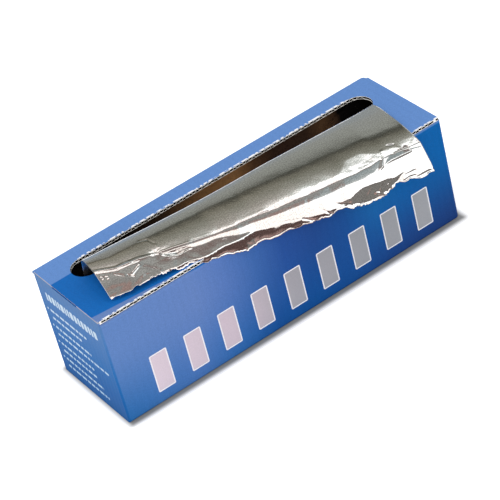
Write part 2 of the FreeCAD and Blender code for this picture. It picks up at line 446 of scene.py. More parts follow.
    def masks(self, wiring: Wiring, place: Sequence[Source], normal_z: Source,
              on_left: Source) -> tuple[Source, Source]:
        """Tell the printed outside from the cut edges.

        Args:
            wiring: The material's wiring.
            place: X, Y and Z of the surface point.
            normal_z: How far the surface faces up.
            on_left: Whether the point is on the left end.

        Returns:
            The share of print and the share of cut edge, each 0 or 1.
        """
        x, y, z = place
        lower = wiring.chain(
            "MAXIMUM", wiring.past(x, RIGHT_X - BOARD + self.skin),
            wiring.past(y, BACK_Y - BOARD + self.skin),
            wiring.math("LESS_THAN", z, BOARD - self.skin))
        on_top = wiring.math("MULTIPLY", wiring.math("GREATER_THAN", normal_z, self.fold_facing),
                             wiring.math("GREATER_THAN", z, CARTON_HEIGHT - self.fold_reach))
        hinge = wiring.math("GREATER_THAN", y, BACK_Y - BOARD - self.fold_reach)
        upper = wiring.math("MAXIMUM", on_top, hinge)
        in_panel = wiring.math("GREATER_THAN", z, CARTON_HEIGHT - BOARD + self.skin)
        outside = wiring.mix(in_panel, lower, upper, numbers=True)
        under_fold = wiring.math("LESS_THAN", z, CARTON_HEIGHT - self.fold_depth)
        printed = wiring.math("MAXIMUM", outside, wiring.math("MULTIPLY", on_left, under_fold))
        raw = wiring.math("MULTIPLY", wiring.within(normal_z, self.upright_facing), in_panel)
        return printed, raw

    def cut_edge(self, wiring: Wiring, x: Source, z: Source, wave: Source,
                 on_left: Source) -> Source:
        """Return the cut edge's colour: pale paper, with painted shade in the open flutes near its
        ends.
        """
        # Painted shade: the open flutes near the ends take the tunnels' dark
        flute_shade = wiring.chain(
            "MULTIPLY", wiring.math("COMPARE", z, CARTON_HEIGHT - BOARD / 2, self.flute_shade_height),
            wiring.past(x, self.flute_shade_past),
            wiring.math("GREATER_THAN", wave, self.flute_shade_wave))
        open_edge = wiring.mix(flute_shade, self.raw_edge, self.tunnel_shade)
        return wiring.mix(on_left, open_edge, self.fold_line)

    def rim(self, wiring: Wiring, x: Source, y: Source, normal_z: Source) -> Source:
        """Return where the print is white behind the slot and along the front: worn print with a
        painted highlight along the edge.
        """
        half = self.slot_rim / 2
        behind = wiring.math("COMPARE", y, self.slot_back_y + half, half)
        by_slot = wiring.math("MULTIPLY", behind, wiring.within(x, self.slot_reach))
        by_front = wiring.math("LESS_THAN", y, FRONT_Y + self.front_rim)
        level = wiring.math("GREATER_THAN", normal_z, self.level_facing)
        broken = wiring.step(wiring.noise(wiring.place(), self.rim_scale), *self.rim_break)
        return wiring.chain("MULTIPLY", wiring.math("MAXIMUM", by_slot, by_front), level, broken)

    def brown(self, wiring: Wiring, x: Source, z: Source, grain: bpy.types.Node) -> Source:
        """Return the inside's brown, with painted light and shade along it and painted shade in
        the flute tunnels.
        """
        in_tunnel = wiring.math("COMPARE", z, CARTON_HEIGHT - BOARD / 2,
                                BOARD / 2 - self.tunnel_skin)
        tone = wiring.math("MULTIPLY_ADD", grain.outputs["Mottle"], self.brown_mottle, 1.0)
        # Painted light and shade along the inside, by place along the carton
        paper = wiring.along(x, LEFT_X, RIGHT_X, self.inside_light_and_shade)
        return wiring.mix(in_tunnel, wiring.scaled(paper, tone), self.tunnel_shade)

    def print_colour(self, wiring: Wiring, place: Sequence[Source],
                     normal: Sequence[Source]) -> Source:
        """Choose the print's colour panel by panel, with painted sheen and shadow on the front.

        Args:
            wiring: The material's wiring.
            place: X, Y and Z of the surface point.
            normal: X, Y and Z of the surface normal.

        Returns:
            The colour socket.
        """
        x, y, z = place
        left, front, down = (wiring.math("MULTIPLY", part, -1.0) for part in (*normal[:2], z))
        on_left, on_front, on_top = (
            wiring.step(part, *self.side_facing) for part in (left, front, normal[2]))
        # The front's print, with a painted sheen at the left and the foil's painted shadow in the
        # middle
        high, low = (wiring.along(x, LEFT_X, RIGHT_X, stops)
                     for stops in (self.front_high_print_sheen_and_shadow, self.front_low))
        front_colour = wiring.mix(wiring.step(down, *self.low_span), high, low)
        end_colour = wiring.along(z, 0.0, CARTON_HEIGHT, self.end_colours)
        colour = wiring.mix(on_front, self.plain_blue, front_colour)
        colour = wiring.mix(on_left, colour, end_colour)
        return wiring.mix(on_top, colour, self.top_colour(wiring, x, y))

    def top_colour(self, wiring: Wiring, x: Source, y: Source) -> Source:
        """Return the top panel's colours: light, with a deep field and a band before it."""
        line = wiring.math("MULTIPLY_ADD", wiring.math("SUBTRACT", x, LEFT_X),
                           self.field_front_slope, self.field_front_y)
        behind_line, before_back, left_of_end = (
            wiring.step(wiring.math("SUBTRACT", *pair), -self.ink_edge, self.ink_edge)
            for pair in ((y, line), (self.field_back_y, y), (self.field_right_x, x)))
        span = wiring.math("MULTIPLY", before_back, left_of_end)
        whole = wiring.mix(span, self.top_light, self.top_band)
        return wiring.mix(wiring.math("MULTIPLY", span, behind_line), whole, self.top_field)


@dataclass(frozen=True)
class PrintInk(Finish):
    """Silver or white ink with a soft change of colour along the carton."""

    grain: PaperGrain
    stops: Stops
    low: float = LEFT_X
    high: float = RIGHT_X
    axis: int = 0
    mottle: float = 0.2
    grain_depth: float = 0.00003

    def build(self) -> bpy.types.Material:
        """Build the material and return it."""
        material, wiring, shader = self.start(Roughness=0.4, Specular_IOR_Level=0.4)
        place = wiring.place()
        colour = wiring.along(wiring.parts(place)[self.axis], self.low, self.high, self.stops)
        grain = self.grain.placed(wiring, vector=place)
        tone = wiring.math("MULTIPLY_ADD", grain.outputs["Mottle"], self.mottle, 1.0)
        wiring.fill(shader, Base_Color=wiring.scaled(colour, tone),
                    Normal=wiring.bump(grain.outputs["Height"], self.grain_depth))
        return material


@dataclass(frozen=True)
class BrightFoil(Finish):
    """Aluminium foil, mirror-like on its bright side and softer on its dull side."""

    metal: RolledMetal
    colour: Colour = (0.85, 0.85, 0.84, 1.0)
    worn_colour: Colour = (0.78, 0.775, 0.76, 1.0)
    roughness: tuple[float, float] = (0.07, 0.12)
    patch_span: tuple[float, float] = (0.3, 0.7)
    pattern_size: tuple[float, float, float] = (1.0, 1.0, 1.0)
    bump_depth: float = 0.00003
    grit: float = 0.9
    follows_sheet: bool = False

    def build(self) -> bpy.types.Material:
        """Build the material and return it."""
        material, wiring, shader = self.start(Metallic=1.0)
        coordinates = wiring.add("ShaderNodeTexCoord")
        source = coordinates.outputs["UV" if self.follows_sheet else "Object"]
        place = wiring.stretched(source, self.pattern_size)
        height, patches, grit = self.metal.placed(wiring, vector=place).outputs
        colour = wiring.mix(patches, self.colour, self.worn_colour)
        tone = wiring.math("MULTIPLY_ADD", grit, self.grit, 1.0 - self.grit / 2)
        wiring.fill(shader, Base_Color=wiring.scaled(colour, tone),
                    Roughness=wiring.ranged(patches, self.patch_span, self.roughness),
                    Normal=wiring.bump(height, self.bump_depth))
        return material


@dataclass(frozen=True)
class CoreBoard(Finish):
    """Spirally wound grey-brown paperboard of the core tube."""

    grain: PaperGrain
    light: Colour = ink(176, 150, 118)
    dark: Colour = ink(140, 112, 82)
    wrap_pitch: float = 0.055
    seam_share: float = 0.02
    seam_depth: float = 0.0001
    grain_amount: float = 1.5
    axis_z: float = 0.0432

    def build(self) -> bpy.types.Material:
        """Build the material and return it."""
        material, wiring, shader = self.start(Roughness=0.85)
        place = wiring.place()
        x, y, z = wiring.parts(place)
        angle = wiring.math("ARCTAN2", wiring.math("SUBTRACT", z, self.axis_z), y)
        turns = wiring.math("ADD", wiring.math("DIVIDE", x, self.wrap_pitch),
                            wiring.math("DIVIDE", angle, 2 * math.pi))
        seam = wiring.math("LESS_THAN", wiring.math("FRACT", turns), self.seam_share)
        grain = self.grain.placed(wiring, vector=place, amount=self.grain_amount)
        mottle = wiring.math("ADD", grain.outputs["Mottle"], 0.5)
        paper = wiring.mix(mottle, self.dark, self.light)
        height = wiring.math("SUBTRACT", grain.outputs["Height"], seam)
        wiring.fill(shader, Base_Color=wiring.mix(seam, paper, self.dark),
                    Normal=wiring.bump(height, self.seam_depth))
        return material


def keep_mesh(shape: bmesh.types.BMesh, name: str, materials: Sequence[bpy.types.Material],
              smooth: bool = True) -> bpy.types.Object:
    """Turn a finished bmesh into an object at the origin.

    Args:
        shape: The bmesh, which is freed.
        name: Name of the piece.
        materials: Its materials, by the faces' material index.
        smooth: Whether its faces shade smoothly.

    Returns:
        The new object, linked to the scene.
    """
    mesh = bpy.data.meshes.new(name)
    for face in shape.faces:
        face.smooth = smooth
    shape.to_mesh(mesh)
    shape.free()
    for material in materials:
        mesh.materials.append(material)
    piece = bpy.data.objects.new(name, mesh)
    bpy.context.scene.collection.objects.link(piece)
    return piece


def ride_root(piece: bpy.types.Object) -> bpy.types.Object:
    """Let a piece ride on the part's one body, and report it."""
    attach(piece, BODY)
    report.info("%s: %d faces, rides on %s", piece.name, len(piece.data.polygons), BODY)
    return piece


@dataclass
class PrintShapes:
    """Plain printed shapes on one panel, each a thin plate with rounded corners."""

    name: str
    facing: Facing
    materials: list[bpy.types.Material]
    plate: float = 0.00006
    sink: float = 0.00002
    shape: bmesh.types.BMesh = field(default_factory=bmesh.new)

    def block(self, centre: tuple[float, float], size: tuple[float, float], corner: float,
              outline: float = 0.0) -> None:
        """Add one upright block in the panel's own plane.

        Args:
            centre: Its middle, along the panel and up.
            size: Its width and height.
            corner: Radius of its corners.
            outline: Width of the outline round it, which takes the first material.
        """
        made = bmesh.ops.create_grid(self.shape, x_segments=1, y_segments=1, size=0.5)
        corners = made["verts"]
        bmesh.ops.scale(self.shape, vec=(*size, 1.0), verts=corners)
        bmesh.ops.translate(self.shape, vec=(*centre, 0.0), verts=corners)
        rounded = bmesh.ops.bevel(
            self.shape, geom=corners, offset=corner, offset_type="OFFSET", affect="VERTICES",
            segments=4, profile=0.5, material=-1)
        faces = {face for vertex in rounded["verts"] for face in vertex.link_faces}
        if outline:
            bmesh.ops.inset_region(self.shape, faces=list(faces), thickness=outline,
                                   use_boundary=True)
            for face in faces:
                face.material_index = 1

    def finish(self) -> bpy.types.Object:
        """Give the shapes their thickness and set them on the panel.

        Returns:
            The finished piece.
        """
        made = bmesh.ops.extrude_face_region(self.shape, geom=list(self.shape.faces))
        raised = [part for part in made["geom"] if isinstance(part, bmesh.types.BMVert)]
        bmesh.ops.translate(self.shape, vec=(0, 0, self.plate), verts=raised)
        bmesh.ops.recalc_face_normals(self.shape, faces=list(self.shape.faces))
        normal = Vector(self.facing.value)
        up = Vector((0, 0, 1))
        turn = Matrix((up.cross(normal), up, normal)).transposed().to_4x4()
        reach = RIGHT_X if self.facing is Facing.LEFT else BACK_Y
        turn.translation = normal * (reach - self.sink)
        bmesh.ops.transform(self.shape, matrix=turn, verts=list(self.shape.verts))
        return keep_mesh(self.shape, self.name, self.materials, smooth=False)


@dataclass
class CartonPrint:
    """Row of plain blocks on the front and ruled lines on the left end."""

    grain: PaperGrain
    block_count: int = 9
    row_left: float = -0.1385
    row_right: float = 0.1438
    row_low: float = 0.0115
    row_high: float = 0.0486
    block_width: float = 0.0165
    corner: float = 0.0012
    outline: float = 0.0011
    # Height of each ruled line on the end, and where it ends, from the panel's back
    rule_start: float = 0.0124
    rules: tuple[tuple[float, float], ...] = (
        (0.0693, 0.0680), (0.0612, 0.0570), (0.0517, 0.0670), (0.0440, 0.0896),
        (0.0342, 0.0630), (0.0266, 0.0637), (0.0180, 0.0700), (0.0104, 0.0756))
    rule_height: float = 0.0024
    rule_dash: float = 0.0052
    dot_lines: tuple[int, ...] = (0, 2, 4, 6)
    dot_place: float = 0.0086
    dot_size: float = 0.0022
    dot_corner: float = 0.0010
    # The heading bar's start and end, from the panel's back, and its foot and head
    heading: tuple[float, float, float, float] = (0.0130, 0.0907, 0.0800, 0.0880)
    heading_dash: float = 0.0036
    dash_gap: float = 0.0014
    dash_spread: tuple[float, float] = (0.6, 1.5)
    dash_corner_share: float = 0.3
    seed: int = 11

    def build(self) -> list[bpy.types.Object]:
        """Build both prints and return them."""
        return [self.front(), self.end()]

    def front(self) -> bpy.types.Object:
        """Build the row of blocks on the front panel and return it."""
        outline = PrintInk("white_ink", self.grain, (
            (LEFT_X, ink(246, 242, 246)), (RIGHT_X, ink(236, 238, 242)))).build()
        silver = PrintInk("silver_ink", self.grain, (
            (LEFT_X, ink(226, 210, 222)), (-0.06, ink(206, 190, 202)), (0.0, ink(162, 160, 168)),
            (0.08, ink(152, 154, 160)), (RIGHT_X, ink(160, 162, 168)))).build()
        shapes = PrintShapes("front_print", Facing.FRONT, [outline, silver])
        height = self.row_high - self.row_low
        middle = (self.row_low + self.row_high) / 2
        first = self.row_left + self.block_width / 2
        last = self.row_right - self.block_width / 2
        for index in range(self.block_count):
            along = first + (last - first) * index / (self.block_count - 1)
            shapes.block((along, middle), (self.block_width, height), self.corner, self.outline)
        return ride_root(shapes.finish())

    def end(self) -> bpy.types.Object:
        """Build the heading bar, rules and dots on the left end and return them."""
        pale = PrintInk("pale_ink", self.grain, (
            (0.0, ink(150, 190, 220)), (CARTON_HEIGHT, ink(196, 216, 234))),
            low=0.0, high=CARTON_HEIGHT, axis=2).build()
        shapes = PrintShapes("end_print", Facing.LEFT, [pale])
        draw = np.random.default_rng(self.seed)
        start, stop, low, high = self.heading
        self.dashes(shapes, draw, (start, stop), (low + high) / 2, high - low, self.heading_dash)
        for index, (height, stop) in enumerate(self.rules):
            self.dashes(shapes, draw, (self.rule_start, stop), height, self.rule_height,
                        self.rule_dash)
            if index in self.dot_lines:
                shapes.block((self.dot_place - BACK_Y, height), (self.dot_size,) * 2,
                             self.dot_corner)
        return ride_root(shapes.finish())

    def dashes(self, shapes: PrintShapes, draw: np.random.Generator, span: tuple[float, float],
               height: float, thickness: float, mean: float) -> None:
        """Rule a line of dashes.

        Args:
            shapes: The print that the dashes go into.
            draw: Source of the dash lengths.
            span: Start and end of the line, from the panel's back.
            height: Height of the line's middle.
            thickness: Thickness of the line.
            mean: Mean length of a dash.
        """
        start, stop = span
        while start < stop:
            length = min(mean * draw.uniform(*self.dash_spread), stop - start)
            if stop - start - length < mean / 3:
                length = stop - start
            middle = start + length / 2 - BACK_Y
            corner = min(length, thickness) * self.dash_corner_share
            shapes.block((middle, height), (length, thickness), corner)
            start += length + self.dash_gap


@dataclass(frozen=True)
class FacetField:
    """Flat facets with sharp creases between them, as in foil that was handled.

    Its depths are how high the facets stand in each zone of the sheet: all of what
    shows, the handled end, the handled end's left and right, and beside the torn edge.
    """

    size: tuple[float, float]
    seed: int
    shown_depth: float
    handled_depth: float
    left_depth: float
    right_depth: float
    torn_depth: float
    width: float = 0.300
    length: float = 0.170
    margin: float = 0.02
    jitter: float = 0.42

    def heights(self, across: np.ndarray, along: np.ndarray) -> np.ndarray:
        """Read the facets' height at points of the flat sheet.

        Args:
            across: Places across the width, from its middle.
            along: Places along the pull.

        Returns:
            Heights of -1 to 1, of the same shape.
        """
        draw = np.random.default_rng(self.seed)
        count_x = int((self.width + 2 * self.margin) / self.size[0])
        count_y = int((self.length + 2 * self.margin) / self.size[1])
        grid_x, grid_y = np.meshgrid(np.arange(count_x), np.arange(count_y), indexing="ij")
        jitter = draw.uniform(-self.jitter, self.jitter, (2, count_x, count_y))
        corner_x = -self.width / 2 - self.margin + (grid_x + jitter[0] + 0.5) * self.size[0]
        corner_y = -self.margin * 2 + (grid_y + jitter[1] + 0.5) * self.size[1]
        height = draw.uniform(-1, 1, corner_x.size)
        flat = [Vector(pair) for pair in zip(corner_x.ravel(), corner_y.ravel())]
        points, _, faces, kept, _, _ = delaunay_2d_cdt(flat, [], [], 0, 1e-7)
        solid = [Vector((*point, height[source[0]])) for point, source in zip(points, kept)]
        tree = BVHTree.FromPolygons(solid, faces)
        above, down = 5.0, Vector((0, 0, -1))
        read = []
        for place in zip(across.ravel(), along.ravel()):
            hit = tree.ray_cast(Vector((*place, above)), down)[0]
            read.append(hit.z if hit else 0.0)
        return np.array(read).reshape(across.shape)


def soft_step(value: np.ndarray, low: float, high: float) -> np.ndarray:
    """Return 0 below low and 1 above high, with a smooth change between."""
    share = np.clip((value - low) / (high - low), 0, 1)
    return share * share * (3 - 2 * share)


def wander(places: np.ndarray, pitch: float, seed: int) -> np.ndarray:
    """Read a smooth random line.

    Args:
        places: Where to read it, in metres.
        pitch: Mean distance between its swings.
        seed: Seed of its swings.

    Returns:
        Values of about -1 to 1 at the places.
    """
    draw = np.random.default_rng(seed)
    knots = np.arange(places.min() - 2 * pitch, places.max() + 3 * pitch, pitch)
    swings = draw.uniform(-1, 1, knots.size)
    index = np.searchsorted(knots, places) - 1
    share = (places - knots[index]) / pitch
    share = share * share * (3 - 2 * share)
    return swings[index] * (1 - share) + swings[index + 1] * share


@dataclass(frozen=True)
class Fold:
    """A straight sharp fold in the drawn sheet.

    Its ends are given as places across the width and along the pull from the ridge.
    A fold with a negative height is a valley.
    """

    start: tuple[float, float]
    end: tuple[float, float]
    height: float
    reach: float

    def rise(self, across: np.ndarray, past_ridge: np.ndarray) -> np.ndarray:
        """Return how high the fold lifts each point of the sheet."""
        way = np.subtract(self.end, self.start)
        from_start = np.stack([across - self.start[0], past_ridge - self.start[1]])
        share = np.clip(np.tensordot(way, from_start, 1) / (way @ way), 0, 1)
        away = np.hypot(*(from_start - way[:, None, None] * share))
        return self.height * np.clip(1 - away / self.reach, 0, 1)


@dataclass(frozen=True)
class Tuck:
    """A patch of the sheet that leans in or out, down from its upper to its lower bound.

    The bounds are places along the pull from the ridge, by place across the width, and
    they meet at both ends. Below the patch the sheet comes back to its line over a
    distance, or stays where that distance is 0.
    """

    upper: Profile
    lower: Profile
    slope: float
    back: float = 0.0

    def rise(self, across: np.ndarray, past_ridge: np.ndarray) -> np.ndarray:
        """Return how high the patch lifts each point of the sheet."""
        upper = np.interp(across, *zip(*self.upper))
        lower = np.maximum(np.interp(across, *zip(*self.lower)), upper)
        height = -self.slope * np.clip(past_ridge - upper, 0, lower - upper)
        if self.back:
            height *= 1 - np.clip((past_ridge - lower) / self.back, 0, 1)
        return height


@dataclass(frozen=True)
class Run:
    """One run of the sheet's line down from its crest.

    Its tilt from level, in degrees, changes evenly from its start to its end.
    """

    length: Profile
    start: Profile
    end: Profile


@dataclass
class DrawnSheet:
    """The sheet drawn off the roll, through the slot and over the front, torn at its end."""

    bright: bpy.types.Material
    dull: bpy.types.Material
    width: float = 0.290
    shift: float = 0.0003
    lean: float = 0.085
    thickness: float = 0.00008
    leave: tuple[float, float] = (0.0335, 0.0650)
    slot_gap: tuple[float, float] = (0.0070, 0.0040)
    crest_setback: tuple[float, float] = (0.0125, 0.0175)
    columns: int = 330
    hidden_rows: int = 9
    arch_rows: int = 26
    front_rows: int = 102
    line_points: int = 48
    crest_rise: Profile = (
        (-0.50, 0.0186), (-0.39, 0.0168), (-0.24, 0.0138), (-0.15, 0.0122), (-0.03, 0.0110),
        (0.115, 0.0104), (0.285, 0.0084), (0.38, 0.0070), (0.50, 0.0030))
    # From the crest: to the soft trough, over it, to the ridge, along the bright flat before
    # it, over the ridge, down the first bend, down the second, along the shoulder, and down
    # to the torn edge
    runs: tuple[Run, ...] = (
        Run(((-0.50, 0.0025), (-0.44, 0.0078), (-0.30, 0.0070), (-0.13, 0.0080), (0.0, 0.0125),
             (0.15, 0.0175), (0.30, 0.0222), (0.50, 0.0262)), ((0.0, 0.0),), ((0.0, 3.2),)),
        Run(((-0.46, 0.0012), (-0.28, 0.0022), (-0.10, 0.0030)), ((0.0, 4.0),), ((0.0, 5.2),)),
        Run(((-0.50, 0.0076), (-0.44, 0.0104), (-0.38, 0.0118), (-0.30, 0.0189), (-0.10, 0.0255),
             (0.15, 0.0230), (0.24, 0.0243), (0.28, 0.0130), (0.33, 0.0120), (0.37, 0.0209),
             (0.39, 0.0195), (0.50, 0.0210)), ((-0.44, 7.2), (-0.24, 6.0), (-0.05, 5.4)),
            ((0.20, 12.8), (0.26, 9.6), (0.35, 9.6), (0.42, 12.8))),
        Run(((-0.50, 0.0036), (-0.38, 0.0030), (-0.32, 0.0010), (-0.28, 0.0002), (0.24, 0.0002),
             (0.28, 0.0120), (0.33, 0.0120), (0.37, 0.0002)),
            ((-0.34, 5.2), (-0.28, 13.0)), ((-0.34, 5.6), (-0.28, 13.5))),
        Run(((-0.50, 0.0030), (-0.38, 0.0030), (-0.31, 0.0023), (-0.05, 0.0025), (0.03, 0.0050),
             (0.15, 0.0072), (0.31, 0.0045), (0.39, 0.0070), (0.50, 0.0042)),
            ((0.0, 14.6),), ((0.0, 18.4),)),
        Run(((-0.32, 0.0003), (-0.26, 0.0008), (-0.15, 0.0020), (0.0, 0.0045), (0.30, 0.0068),
             (0.345, 0.0045), (0.375, 0.0006), (0.50, 0.0003)),
            ((-0.10, 28.0), (0.0, 30.0)), ((-0.32, 28.0), (-0.26, 38.0), (0.0, 41.0))),
        Run(((-0.32, 0.0003), (-0.26, 0.0025), (-0.20, 0.0035), (-0.16, 0.0024), (-0.10, 0.0050),
             (0.0, 0.0082), (0.15, 0.0128), (0.27, 0.0070), (0.34, 0.0100), (0.40, 0.0165),
             (0.50, 0.0200)),
            ((-0.32, 25.0), (-0.26, 47.0)),
            ((-0.32, 25.0), (-0.26, 50.0), (-0.06, 52.0), (0.02, 66.0), (0.20, 64.0),
             (0.30, 60.0))),
        Run(((-0.50, 0.0216), (-0.44, 0.0184), (-0.40, 0.0166), (-0.30, 0.0144),
             (-0.26, 0.0113), (-0.22, 0.0116), (-0.18, 0.0098), (-0.13, 0.0070), (-0.10, 0.0040),
             (-0.06, 0.0003)),
            ((-0.50, 30.0), (-0.40, 28.0), (-0.34, 25.0), (-0.26, 22.0), (-0.08, 22.0),
             (-0.04, 70.0)),
            ((-0.50, 40.5), (-0.45, 39.5), (-0.41, 36.5), (-0.37, 33.0), (-0.34, 29.0),
             (-0.26, 24.5), (-0.18, 26.0), (-0.13, 24.0), (-0.08, 24.0), (-0.04, 70.0))),
        Run(((-0.345, 0.0003), (-0.325, 0.0014), (-0.30, 0.0021), (-0.26, 0.0025), (-0.22, 0.0045),
             (-0.18, 0.0065), (-0.13, 0.0090), (-0.10, 0.0115), (-0.06, 0.0100), (0.0, 0.0080),
             (0.10, 0.0040), (0.20, 0.0050), (0.27, 0.0140), (0.33, 0.0125), (0.38, 0.0075),
             (0.41, 0.0062), (0.46, 0.0075), (0.50, 0.0075)),
            ((0.16, 74.0), (0.26, 62.0)), ((0.16, 84.0), (0.26, 68.0))))
    station_blur: float = 0.008
    # How far the line's direction holds in the arch: per unit of climb, and its bounds
    arch_pull: float = 0.9
    arch_pull_span: tuple[float, float] = (0.2, 0.5)
    # Swings of the torn edge, as height, pitch and seed
    edge_swings: tuple[tuple[float, float, int], ...] = (
        (0.0010, 0.011, 3), (0.0008, 0.0042, 4))
    # Its teeth: their height, pitches with seeds, the fine ones' share, and where they stand
    teeth_height: float = 0.0014
    teeth: tuple[tuple[float, int], ...] = ((0.0023, 5), (0.0012, 8))
    fine_teeth_share: float = 0.4
    teeth_patches: tuple[float, int] = (0.02, 6)
    teeth_span: tuple[float, float] = (-0.6, 0.5)
    # The curled lip along it: pitch and seed, swing, mean depth and reach
    lip_line: tuple[float, int] = (0.009, 31)
    lip_swing: float = 0.0002
    lip_depth: float = 0.0004
    lip_reach: float = 0.0012
    facets: tuple[FacetField, ...] = (
        FacetField((0.020, 0.010), 21, 0.0, 0.00010, 0.00022, 0.00040, 0.0),
        FacetField((0.010, 0.0055), 22, 0.00002, 0.00008, 0.00010, 0.00015, 0.0),
        FacetField((0.0045, 0.0035), 23, 0.00001, 0.00004, 0.0, 0.0, 0.00010))
    # Where each zone of the facets starts and is whole: from the middle to the left and
    # right, past the ridge, from the torn edge, and from the slot
    left_zone: tuple[float, float] = (0.045, 0.10)
    right_zone: tuple[float, float] = (0.055, 0.10)
    handled_zone: tuple[float, float] = (-0.008, 0.003)
    torn_zone: tuple[float, float] = (-0.014, -0.002)
    shown_zone: tuple[float, float] = (0.012, 0.03)
    pinch_place: tuple[float, float] = (-0.0945, -0.0015)
    pinch_depth: float = 0.0007
    pinch_reach: float = 0.0028
    pinch_fade: tuple[float, float] = (-0.001, 0.002)
    pinch_plain_share: float = 0.4
    pinch_folds: int = 7
    folds: tuple[Fold, ...] = (
        # Above the ridge on the left, and the thin line beside the pinch
        Fold((-0.145, -0.0026), (-0.117, -0.0012), 0.00018, 0.0014),
        Fold((-0.117, -0.0012), (-0.100, -0.0004), 0.00018, 0.0014),
        Fold((-0.091, -0.0016), (-0.067, 0.0002), 0.00015, 0.0012),
        Fold((-0.067, 0.0002), (-0.038, 0.0022), 0.00013, 0.0012),
        Fold((-0.099, -0.0200), (-0.093, -0.0190), -0.00012, 0.0011),
        Fold((-0.093, -0.0190), (-0.090, -0.0110), -0.00012, 0.0011),
        Fold((-0.090, -0.0110), (-0.090, -0.0060), 0.00012, 0.0010),
        # On the left shoulder
        Fold((-0.121, 0.0090), (-0.112, 0.0050), 0.00040, 0.0014),
        Fold((-0.132, 0.0040), (-0.127, 0.0070), -0.00050, 0.0012),
        Fold((-0.124, 0.0080), (-0.120, 0.0110), -0.00045, 0.0011),
        Fold((-0.108, 0.0080), (-0.100, 0.0150), 0.00025, 0.0020),
        # In the middle
        Fold((-0.001, 0.0120), (0.021, 0.0180), -0.00030, 0.0010),
        Fold((0.024, 0.0190), (0.034, 0.0260), -0.00050, 0.0014),
        Fold((0.038, 0.0160), (0.048, 0.0260), -0.00045, 0.0013),
        # On the right
        Fold((0.112, -0.0040), (0.109, 0.0030), 0.00035, 0.0012),
        Fold((0.120, -0.0072), (0.1245, -0.0060), -0.00035, 0.0010),
        Fold((0.1275, 0.0010), (0.1235, 0.0075), 0.00020, 0.0014),
        Fold((0.086, 0.0180), (0.078, 0.0260), -0.00035, 0.0016),
        Fold((0.070, 0.0215), (0.066, 0.0240), 0.00040, 0.0012),
        Fold((0.097, 0.0190), (0.092, 0.0250), -0.00035, 0.0014),
        Fold((0.134, 0.0040), (0.143, 0.0050), -0.00045, 0.0009),
        Fold((0.112, 0.0240), (0.119, 0.0210), -0.00050, 0.0010),
        Fold((0.119, 0.0230), (0.130, 0.0220), -0.00055, 0.0010),
        Fold((0.122, 0.0260), (0.128, 0.0260), -0.00050, 0.0009),
        Fold((0.124, 0.0285), (0.135, 0.0275), -0.00050, 0.0010),
        Fold((0.135, 0.0275), (0.142, 0.0270), -0.00045, 0.0009),
        Fold((0.113, 0.0285), (0.120, 0.0265), -0.00050, 0.0010),
        Fold((0.134, 0.0220), (0.141, 0.0170), -0.00030, 0.0008),
        Fold((0.091, 0.0250), (0.099, 0.0300), 0.00110, 0.0016),
        Fold((0.103, 0.0240), (0.108, 0.0300), 0.00100, 0.0015))
    tucks: tuple[Tuck, ...] = (
        # The hollow above the torn edge on the right
        Tuck(((0.051, 0.017), (0.059, 0.020), (0.067, 0.020), (0.075, 0.017), (0.081, 0.015),
              (0.091, 0.016), (0.103, 0.019), (0.109, 0.022), (0.118, 0.021)),
             ((0.051, 0.017), (0.059, 0.021), (0.071, 0.026), (0.083, 0.029), (0.090, 0.029),
              (0.098, 0.028), (0.105, 0.027), (0.113, 0.025), (0.118, 0.021)), 0.50),
        # The upright facet below the ridge on the right
        Tuck(((0.1050, 0.0086), (0.1160, 0.0040), (0.1210, 0.0021), (0.1335, 0.0021),
              (0.1345, 0.0062)),
             ((0.1050, 0.0086), (0.1335, 0.0064), (0.1345, 0.0062)), -0.36, 0.0010),
        # The part of it that reaches over the ridge
        Tuck(((0.1205, 0.0020), (0.1325, -0.0010), (0.1340, 0.0020)),
             ((0.1205, 0.0020), (0.1325, 0.0021), (0.1340, 0.0020)), 0.20, 0.0045),
        # The blade-shaped fold to its left
        Tuck(((0.0985, 0.0098), (0.1035, 0.0045), (0.1090, 0.0020)),
             ((0.0985, 0.0098), (0.1045, 0.0085), (0.1090, 0.0020)), -0.38, 0.0010),
        # Small crumples at the far left
        Tuck(((-0.1440, 0.0045), (-0.1425, 0.0032), (-0.1405, 0.0045)),
             ((-0.1440, 0.0045), (-0.1425, 0.0066), (-0.1405, 0.0045)), -0.26, 0.0010),
        Tuck(((-0.1402, 0.0050), (-0.1388, 0.0036), (-0.1366, 0.0050)),
             ((-0.1402, 0.0050), (-0.1388, 0.0070), (-0.1366, 0.0050)), -0.26, 0.0010),
        # The dark wedge beside the pinch
        Tuck(((-0.093, 0.0005), (-0.080, 0.0015), (-0.066, 0.0030)),
             ((-0.093, 0.0005), (-0.080, 0.0042), (-0.066, 0.0030)), 0.80, 0.0030))

    def read(self, profile: Profile, share: np.ndarray) -> np.ndarray:
        """Read a profile at shares of the width, blurred a little across them."""
        places = share[:, None] + np.linspace(-self.station_blur, self.station_blur, 5)
        return np.interp(places, *zip(*profile)).mean(axis=1)

    def bend(self, start: np.ndarray, start_way: np.ndarray, end: np.ndarray, end_way: np.ndarray,
             pull: float | np.ndarray) -> np.ndarray:
        """Draw one smooth bend for every column.

        Args:
            start: Where the bend starts, (y, z) for each column.
            start_way: Direction there.
            end: Where the bend ends.
            end_way: Direction there.
            pull: How far each direction holds, as a share of the bend's span.

        Returns:
            Points along the bend for each column, without its end.
        """
        span = np.linalg.norm(end - start, axis=-1, keepdims=True)
        first = start + start_way * span * pull
        second = end - end_way * span * pull
        share = np.linspace(0, 1, self.line_points, endpoint=False)[None, :, None]
        rest = 1 - share
        corners = [corner[:, None, :] for corner in (start, first, second, end)]
        return (rest ** 3 * corners[0] + 3 * rest ** 2 * share * corners[1]
                + 3 * rest * share ** 2 * corners[2] + share ** 3 * corners[3])

